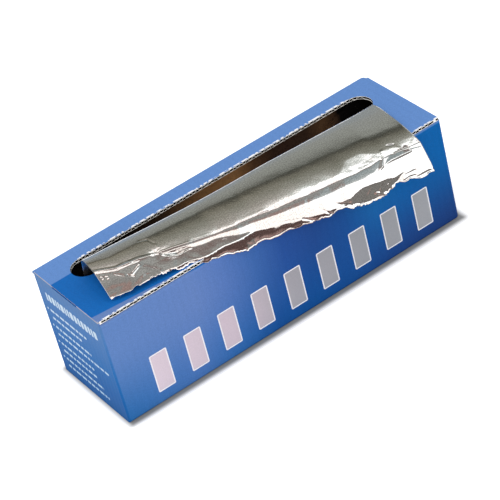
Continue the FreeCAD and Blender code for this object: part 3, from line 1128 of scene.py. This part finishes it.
    def front_line(self, share: np.ndarray, crest: np.ndarray) -> np.ndarray:
        """Run down from the crest to the torn edge.

        Args:
            share: Share of the width of each column, from the middle.
            crest: The crest, (y, z) for each column.

        Returns:
            Points of the line for each column, from the crest to the torn edge.
        """
        lengths, starts, ends = (
            np.stack([self.read(getattr(run, name), share) for run in self.runs], axis=1)
            for name in ("length", "start", "end"))
        part = (np.arange(self.line_points) + 0.5) / self.line_points
        tilt = np.radians(starts[..., None] + (ends - starts)[..., None] * part)
        steps = np.stack([-np.cos(tilt), -np.sin(tilt)], axis=-1)
        steps *= lengths[..., None, None] / self.line_points
        line = crest[:, None, :] + np.cumsum(steps.reshape(share.size, -1, 2), axis=1)
        return np.concatenate([crest[:, None, :], line], axis=1)

    def side_lines(self, share: np.ndarray) -> np.ndarray:
        """Draw the sheet's line from the roll to the torn edge for every column.

        Args:
            share: Share of the width of each column, from the middle.

        Returns:
            The lines as (y, z) points.
        """
        along = share + 0.5
        slot_y = SLOT_FRONT_Y + self.slot_gap[0] + (self.slot_gap[1] - self.slot_gap[0]) * along
        setback = self.crest_setback[0] + (self.crest_setback[1] - self.crest_setback[0]) * along
        roll = np.tile(self.leave, (share.size, 1))
        slot = np.stack([slot_y, np.full_like(slot_y, CARTON_HEIGHT)], axis=1)
        crest_z = CARTON_HEIGHT + self.read(self.crest_rise, share)
        crest = np.stack([slot_y - setback, crest_z], axis=1)
        rising = slot - roll
        rising /= np.linalg.norm(rising, axis=1, keepdims=True)
        level = np.tile((-1.0, 0.0), (share.size, 1))
        straight = self.bend(roll, rising, slot, rising, 1 / 3)
        climb = (crest - slot)[:, 1] / np.linalg.norm(crest - slot, axis=1)
        pull = np.clip(self.arch_pull * climb, *self.arch_pull_span)[:, None]
        arch = self.bend(slot, rising, crest, level, pull)
        return np.concatenate([straight, arch, self.front_line(share, crest)], axis=1)

    def torn_edge(self, across: np.ndarray) -> np.ndarray:
        """Return how much longer or shorter each column is than its even torn edge."""
        edge = sum(height * wander(across, pitch, seed)
                   for height, pitch, seed in self.edge_swings)
        coarse, fine = (wander(across, pitch, seed) for pitch, seed in self.teeth)
        teeth = np.abs(coarse) + self.fine_teeth_share * fine
        toothed = soft_step(wander(across, *self.teeth_patches), *self.teeth_span)
        return edge + self.teeth_height * teeth * toothed

    def build(self) -> bpy.types.Object:
        """Build the sheet and return it."""
        shape = bmesh.new()
        rows = self.hidden_rows + self.arch_rows + self.front_rows
        bmesh.ops.create_grid(shape, x_segments=self.columns, y_segments=rows, size=0.5)
        shape.verts.ensure_lookup_table()
        flat = np.array([vertex.co for vertex in shape.verts])
        column = np.rint((flat[:, 0] + 0.5) * self.columns).astype(int)
        row = np.rint((flat[:, 1] + 0.5) * rows).astype(int)
        share = np.linspace(-0.5, 0.5, self.columns + 1)
        points, places, ridge_place, edge_place = self.smooth_surface(share)
        creases = self.relief(share, places, ridge_place, edge_place)
        points = points + self.normals_of(points) * creases[..., None]
        layer = shape.loops.layers.uv.new("sheet")
        length = places.max() - places.min()
        for vertex, c, r in zip(shape.verts, column, row):
            vertex.co = points[c, r]
            for loop in vertex.link_loops:
                loop[layer].uv = (share[c] + 0.5, (places[c, r] - places.min()) / length)
        shape.normal_update()
        if sum(face.normal.z for face in shape.faces) < 0:
            bmesh.ops.reverse_faces(shape, faces=list(shape.faces))
        piece = keep_mesh(shape, "foil_sheet", [self.bright, self.dull])
        wall = piece.modifiers.new("thickness", "SOLIDIFY")
        wall.thickness = self.thickness
        wall.offset = -1.0
        wall.material_offset = 1
        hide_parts("foil")
        return ride_root(piece)

    def smooth_surface(self, share: np.ndarray) -> tuple[np.ndarray, ...]:
        """Lay out the uncreased sheet.

        Args:
            share: Share of the width of each column, from the middle.

        Returns:
            Points by column and row, their places along the pull from the slot,
            the ridge's place in each column, and the torn edge's place in each.
        """
        lines = self.side_lines(share)
        across = share * self.width
        steps = np.linalg.norm(np.diff(lines, axis=1), axis=2)
        run = np.concatenate([np.zeros((share.size, 1)), np.cumsum(steps, axis=1)], axis=1)
        run -= run[:, self.line_points:self.line_points + 1]
        crest = run[:, 2 * self.line_points]
        trough, dip, back, flat, ridge = (self.read(part.length, share) for part in self.runs[:5])
        middle = crest + trough
        ends = run[:, -1] + self.torn_edge(across)
        hidden = np.linspace(0, 1, self.hidden_rows, endpoint=False)
        arch = np.linspace(0, 1, self.arch_rows, endpoint=False)
        front = np.linspace(0, 1, self.front_rows + 1)
        places = np.concatenate([
            run[:, :1] * (1 - hidden), middle[:, None] * arch,
            middle[:, None] + (ends - middle)[:, None] * front], axis=1)
        last_way = lines[:, -1] - lines[:, -2]
        last_way /= np.linalg.norm(last_way, axis=1, keepdims=True)
        points = np.empty((*places.shape, 3))
        for index in range(share.size):
            spare = np.clip(places[index] - run[index, -1], 0, None)
            for axis in (0, 1):
                on_line = np.interp(places[index], run[index], lines[index, :, axis])
                points[index, :, axis + 1] = on_line + spare * last_way[index, axis]
        leaning = self.lean * (points[..., 1] - SLOT_FRONT_Y)
        points[..., 0] = across[:, None] + self.shift + leaning
        return points, places, middle + dip + back + flat + ridge / 2, ends

    def normals_of(self, points: np.ndarray) -> np.ndarray:
        """Return the outward normals of a grid of points."""
        normals = np.cross(np.gradient(points, axis=1), np.gradient(points, axis=0))
        normals /= np.linalg.norm(normals, axis=2, keepdims=True)
        return normals

    def relief(self, share: np.ndarray, places: np.ndarray, ridge_place: np.ndarray,
               edge_place: np.ndarray) -> np.ndarray:
        """Work out the creases.

        Args:
            share: Share of the width of each column, from the middle.
            places: Places along the pull, by column and row.
            ridge_place: Place of the long ridge in each column.
            edge_place: Place of the torn edge in each column.

        Returns:
            Heights along the sheet's normal, by column and row.
        """
        across = np.repeat((share * self.width)[:, None], places.shape[1], axis=1)
        past_ridge = places - ridge_place[:, None]
        from_edge = edge_place[:, None] - places
        height = self.pinch(across - self.pinch_place[0], past_ridge - self.pinch_place[1])
        for crease in (*self.folds, *self.tucks):
            height += crease.rise(across, past_ridge)

        left = soft_step(-across, *self.left_zone)
        right = soft_step(across, *self.right_zone)
        handled = soft_step(past_ridge, *self.handled_zone)
        torn = soft_step(-from_edge, *self.torn_zone)
        shown = soft_step(places, *self.shown_zone)
        for facets in self.facets:
            in_hand = facets.handled_depth + facets.left_depth * left + facets.right_depth * right
            depth = facets.shown_depth * shown + handled * in_hand + facets.torn_depth * torn
            height += facets.heights(across, places) * depth
        lip = wander(share * self.width, *self.lip_line)[:, None] * self.lip_swing - self.lip_depth
        height -= lip * np.clip(1 - from_edge / self.lip_reach, 0, 1)
        return height

    def pinch(self, across: np.ndarray, along: np.ndarray) -> np.ndarray:
        """Return the star-shaped dent, with folds that run out from it."""
        reach = np.hypot(across, along)
        angle = np.arctan2(along, across)
        folds = np.abs(np.cos(self.pinch_folds * angle / 2))
        star = self.pinch_plain_share + (1 - self.pinch_plain_share) * folds
        dent = np.exp(-reach / self.pinch_reach) * soft_step(reach, *self.pinch_fade)
        return -self.pinch_depth * star * dent


@dataclass
class WoundTurns:
    """The wound part of the roll, with turns that lie in and out at its ends."""

    bright: bpy.types.Material
    end: bpy.types.Material
    width: float = 0.290
    outer_radius: float = 0.040
    inner_radius: float = 0.02015
    axis_z: float = 0.0432
    centre_x: float = 0.00272
    turn_groups: int = 22
    segments: int = 96
    step_range: tuple[float, float] = (0.0001, 0.0008)
    seed: int = 7

    def build(self) -> bpy.types.Object:
        """Build the turns and return them."""
        draw = np.random.default_rng(self.seed)
        half = self.width / 2
        radii = np.linspace(self.inner_radius, self.outer_radius, self.turn_groups + 1)
        outline: list[tuple[float, float]] = []
        for side in (1, -1):
            insets = draw.uniform(*self.step_range, self.turn_groups)
            insets[-1] = 0.0
            groups = range(self.turn_groups) if side > 0 else reversed(range(self.turn_groups))
            for group in groups:
                place = side * (half - insets[group])
                ends = (radii[group], radii[group + 1])
                outline += [(place, radius) for radius in (ends if side > 0 else ends[::-1])]
        shape = bmesh.new()
        corners = [shape.verts.new((x, 0, radius)) for x, radius in outline]
        edges = [shape.edges.new(pair) for pair in zip(corners, corners[1:] + corners[:1])]
        bmesh.ops.spin(shape, geom=corners + edges, cent=(0, 0, 0), axis=(1, 0, 0),
                       angle=2 * math.pi, steps=self.segments, use_merge=True)
        bmesh.ops.remove_doubles(shape, verts=list(shape.verts), dist=1e-7)
        bmesh.ops.recalc_face_normals(shape, faces=list(shape.faces))
        bmesh.ops.translate(shape, vec=(self.centre_x, 0, self.axis_z), verts=list(shape.verts))
        for face in shape.faces:
            face.material_index = int(abs(face.normal.x) > 0.5)
        piece = keep_mesh(shape, "foil_turns", [self.bright, self.end], smooth=False)
        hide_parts("foil")
        return ride_root(piece)


@dataclass(frozen=True)
class Lamp:
    """A square soft lamp that faces the carton."""

    name: str
    place: tuple[float, float, float]
    size: float
    power: float

    def hang(self) -> None:
        """Hang the lamp in the scene."""
        lamp = bpy.data.lights.new(self.name, "AREA")
        lamp.shape = "SQUARE"
        lamp.size = self.size
        lamp.energy = self.power
        holder = bpy.data.objects.new(self.name, lamp)
        holder.location = self.place
        holder.rotation_euler = (-Vector(self.place)).to_track_quat("-Z", "Y").to_euler()
        holder.visible_glossy = False
        bpy.context.scene.collection.objects.link(holder)


@dataclass
class Studio:
    """Pale floor with a painted contact shadow, soft light, cards for the metal to reflect, and
    the camera.
    """

    camera_place: Vector = field(default_factory=lambda: Vector((-0.69067, -1.38102, 1.17332)))
    camera_right: Vector = field(default_factory=lambda: Vector((0.79711, -0.56677, -0.20831)))
    camera_up: Vector = field(default_factory=lambda: Vector((0.4849, 0.39521, 0.78018)))
    lens: float = 167.76
    sensor: float = 36.0
    sky: float = 0.80
    lamps: tuple[Lamp, ...] = (
        Lamp("key", (-0.9, 0.5, 2.2), 1.2, 11.0),
        Lamp("fill", (-0.9, -1.9, 1.5), 1.4, 16.0))
    floor_tone: float = 0.8
    floor_glow: float = 0.6
    # Painted contact shadow round the carton's footprint: its tone, its fade out to the open
    # floor, and its shift off the middle
    contact_shadow_tone: float = 0.22
    contact_shadow_width: tuple[float, float] = (-0.0015, 0.0080)
    contact_shadow_shift: float = 0.0015
    floor_size: float = 6.0
    floor_z: float = -0.0002
    arch_radius: float = 2.6
    arch_length: float = 7.0
    arch_glow: float = 1.3
    # Colours of the arch's cloth by the angle above the horizon behind the carton,
    # counted over the top and down to the horizon in front
    arch_bands: Stops = (
        (0, ink(132, 137, 139)), (30, ink(134, 138, 138)), (36, ink(135, 137, 134)),
        (40, ink(134, 136, 130)), (42.5, ink(127, 129, 123)), (44, ink(112, 113, 107)),
        (45.6, ink(94, 95, 89)), (47.0, ink(62, 63, 57)), (49.6, ink(62, 62, 55)),
        (51.5, ink(88, 86, 77)), (54, ink(106, 104, 93)), (57, ink(118, 118, 108)),
        (60, ink(134, 133, 124)), (62.5, ink(148, 147, 140)), (64.5, ink(172, 174, 168)),
        (66, ink(188, 192, 187)), (67.3, ink(212, 214, 211)), (68.6, ink(285, 285, 285)),
        (76.5, ink(285, 285, 285)), (79.5, ink(138, 128, 124)), (84, ink(116, 104, 100)),
        (88, ink(122, 114, 110)), (93, ink(131, 130, 127)), (97, ink(134, 143, 144)),
        (110, ink(140, 148, 149)), (118, ink(154, 160, 160)), (125, ink(186, 188, 188)),
        (129, ink(285, 285, 285)), (180, ink(285, 285, 285)))
    warm_bands: Stops = (
        (0, ink(130, 142, 156)), (30, ink(134, 144, 156)), (36, ink(134, 140, 142)),
        (41, ink(130, 130, 126)), (45.6, ink(112, 110, 102)), (47.0, ink(82, 80, 73)),
        (49.6, ink(84, 81, 72)), (51.5, ink(104, 100, 88)), (54, ink(124, 120, 108)),
        (57, ink(130, 127, 117)), (60, ink(140, 136, 127)), (62.5, ink(150, 144, 137)),
        (64.5, ink(160, 154, 148)), (67.0, ink(204, 198, 192)),
        (68.4, ink(262, 253, 249)), (76.5, ink(262, 253, 249)), (79.5, ink(122, 104, 100)),
        (84, ink(112, 97, 93)), (88, ink(124, 116, 112)), (92, ink(140, 138, 134)),
        (97, ink(148, 148, 145)), (103, ink(134, 132, 129)), (111, ink(130, 128, 125)),
        (113, ink(142, 122, 116)), (121, ink(140, 118, 112)), (124, ink(172, 154, 148)),
        (129, ink(260, 250, 245)), (180, ink(262, 251, 246)))
    warm_until: tuple[float, float] = (0.96, 1.08)
    # How much further left the warm cloth ends in front, and where along the arch
    warm_shift: float = 0.5
    warm_turn: tuple[float, float] = (0.55, 0.70)
    card_colour: Colour = ink(94, 74, 70)
    card_near_colour: Colour = ink(128, 125, 121)
    card_left_colour: Colour = ink(176, 146, 139)
    card_change_y: tuple[float, float] = (-0.36, -0.27)
    card_change_x: tuple[float, float] = (0.070, 0.088)
    card_speckle: float = 260.0
    card_glow: float = 2.0
    card_size: tuple[float, float] = (2.4, 1.76)
    card_place: tuple[float, float, float] = (0.0, -0.97, 0.001)

    def build(self) -> None:
        """Build the whole studio."""
        self.world()
        self.floor()
        self.arch()
        self.front_card()
        for lamp in self.lamps:
            lamp.hang()
        self.camera()
        bpy.context.scene.view_settings.view_transform = "Standard"

    def world(self) -> None:
        """Light the scene evenly from all round."""
        world = bpy.data.worlds.new("studio")
        world.use_nodes = True
        background = world.node_tree.nodes["Background"]
        wiring = Wiring(world.node_tree)
        seen = wiring.seen_by("Camera", "Transmission")
        level = wiring.math("MULTIPLY_ADD", seen, 1.0 - self.sky, self.sky)
        wiring.fill(background, Color=(1.0, 1.0, 1.0, 1.0), Strength=level)
        bpy.context.scene.world = world

    def staged(self, shape: bmesh.types.BMesh, name: str, material: bpy.types.Material,
               metal_only: bool) -> bpy.types.Object:
        """Keep a studio piece that isn't part of the object.

        Args:
            shape: Its bmesh.
            name: Its name.
            material: Its material.
            metal_only: Whether only glossy surfaces show it.

        Returns:
            The stage object.
        """
        piece = keep_mesh(shape, name, [material])
        if metal_only:
            piece.visible_camera = False
            piece.visible_diffuse = False
            piece.visible_shadow = False
        return piece

    def laid(self, size: Sequence[float], place: Sequence[float]) -> bmesh.types.BMesh:
        """Return a level rectangle of a size, laid at a place."""
        shape = bmesh.new()
        bmesh.ops.create_grid(shape, x_segments=1, y_segments=1, size=0.5)
        bmesh.ops.scale(shape, vec=(*size, 1.0), verts=list(shape.verts))
        bmesh.ops.translate(shape, vec=place, verts=list(shape.verts))
        return shape

    def floor(self) -> None:
        """Lay the pale floor, which keeps the carton's shadow, with a painted contact shadow round
        the carton's footprint.
        """
        material, wiring, shader = Finish("pale_floor").start(
            Roughness=1.0, Specular_IOR_Level=0.0, Emission_Color=(1.0, 1.0, 1.0, 1.0))
        x, y, _ = wiring.parts(wiring.place())
        off_middle = (wiring.math("SUBTRACT", x, self.contact_shadow_shift),
                      wiring.math("ADD", y, self.contact_shadow_shift))
        beside = (wiring.math("SUBTRACT", wiring.math("ABSOLUTE", off), reach)
                  for off, reach in zip(off_middle, (RIGHT_X, BACK_Y)))
        inputs = {axis: wiring.math("MAXIMUM", past, 0.0) for axis, past in enumerate(beside)}
        vector = wiring.add("ShaderNodeCombineXYZ", inputs).outputs[0]
        away = wiring.add("ShaderNodeVectorMath", {0: vector}, operation="LENGTH").outputs["Value"]
        # Painted shadow: dark and without glow near the footprint
        open_floor = wiring.step(away, *self.contact_shadow_width)
        shadow_colour, plain = ((*[tone] * 3, 1.0) for tone in (self.contact_shadow_tone, self.floor_tone))
        seen = wiring.seen_by("Camera", "Glossy", "Transmission")
        wiring.fill(shader, Base_Color=wiring.mix(open_floor, shadow_colour, plain),
                    Emission_Strength=wiring.chain("MULTIPLY", open_floor, self.floor_glow, seen))
        shape = self.laid((self.floor_size,) * 2, (0.0, 0.0, self.floor_z))
        self.staged(shape, "floor", material, metal_only=False)

    def glowing(self, name: str) -> tuple[bpy.types.Material, Wiring, bpy.types.Node]:
        """Return a material that only glows, with its wiring and its emission node."""
        material = bpy.data.materials.new(name)
        material.use_nodes = True
        wiring = Wiring(material.node_tree)
        glow = wiring.add("ShaderNodeEmission")
        output = material.node_tree.nodes["Material Output"]
        wiring.feed(output.inputs["Surface"], glow.outputs[0])
        return material, wiring, glow

    def arch(self) -> None:
        """Stand an arch of light and dark cloth round the carton for the foil to reflect."""
        material, wiring, glow = self.glowing("arch_cloth")
        x, y, z = wiring.parts(wiring.place())
        turn = wiring.math("DIVIDE", wiring.math("ARCTAN2", z, y), math.pi)
        warm, plain = (wiring.ramp(turn, [(angle / 180, colour) for angle, colour in bands])
                       for bands in (self.warm_bands, self.arch_bands))
        place = wiring.math("MULTIPLY_ADD", wiring.step(turn, *self.warm_turn), self.warm_shift, x)
        colour = wiring.mix(wiring.step(place, *self.warm_until), warm, plain)
        wiring.fill(glow, Color=colour, Strength=self.arch_glow)
        shape = bmesh.new()
        bmesh.ops.create_cone(shape, cap_ends=False, segments=96, radius1=self.arch_radius,
                              radius2=self.arch_radius, depth=self.arch_length)
        bmesh.ops.rotate(shape, cent=(0, 0, 0), matrix=Matrix.Rotation(math.pi / 2, 3, "Y"),
                         verts=list(shape.verts))
        self.staged(shape, "arch", material, metal_only=True)

    def front_card(self) -> None:
        """Lay a warm dark card on the floor in front, for the hanging foil to reflect."""
        material, wiring, glow = self.glowing("warm_card")
        place = wiring.place()
        x, y, _ = wiring.parts(place)
        near_colour = wiring.mix(wiring.step(x, *self.card_change_x),
                                 self.card_left_colour, self.card_near_colour)
        colour = wiring.mix(wiring.step(y, *self.card_change_y), self.card_colour, near_colour)
        speckle = wiring.noise(place, self.card_speckle, 1.0)
        tone = wiring.math("MULTIPLY", speckle, self.card_glow)
        wiring.fill(glow, Color=wiring.scaled(colour, tone))
        shape = self.laid(self.card_size, self.card_place)
        self.staged(shape, "warm_card", material, metal_only=True)

    def camera(self) -> None:
        """Set the camera at the photograph's place and angle."""
        lens = bpy.data.cameras.new("camera")
        lens.lens = self.lens
        lens.sensor_width = self.sensor
        holder = bpy.data.objects.new("camera", lens)
        right, up = self.camera_right.normalized(), self.camera_up.normalized()
        turn = Matrix((right, up, right.cross(up))).transposed().to_4x4()
        turn.translation = self.camera_place
        holder.matrix_world = turn
        bpy.context.scene.collection.objects.link(holder)
        bpy.context.scene.camera = holder


def dress_solids(board: bpy.types.Material, core: bpy.types.Material) -> None:
    """Give the solids that stay in view their materials.

    Args:
        board: Finish of the carton.
        core: Finish of the core tube.
    """
    for name, material in (("carton", board), ("core_tube", core)):
        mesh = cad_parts[name].data
        mesh.materials.clear()
        mesh.materials.append(material)
        report.info("%s: solid kept, finish %s", name, material.name)


def main() -> None:
    """Build the finishes, the pieces and the studio, in that order."""
    grain, metal = PaperGrain(), RolledMetal()
    dress_solids(PrintedBoard("printed_board_finish", grain).build(),
                 CoreBoard("core_board_finish", grain).build())
    CartonPrint(grain).build()
    sheet_size = (0.290, 0.150, 1.0)
    bright, dull = (
        BrightFoil(name, metal, roughness=roughness, pattern_size=sheet_size,
                   follows_sheet=True).build()
        for name, roughness in (("foil_bright", (0.07, 0.12)), ("foil_dull", (0.3, 0.4))))
    DrawnSheet(bright, dull).build()
    wound, wound_end = (
        BrightFoil(name, metal, roughness=roughness, bump_depth=depth).build()
        for name, roughness, depth in (("foil_wound", (0.2, 0.3), 0.00003),
                                       ("foil_wound_end", (0.4, 0.55), 0.0001)))
    WoundTurns(wound, wound_end).build()
    Studio().build()


if __name__ == "__main__":
    main()
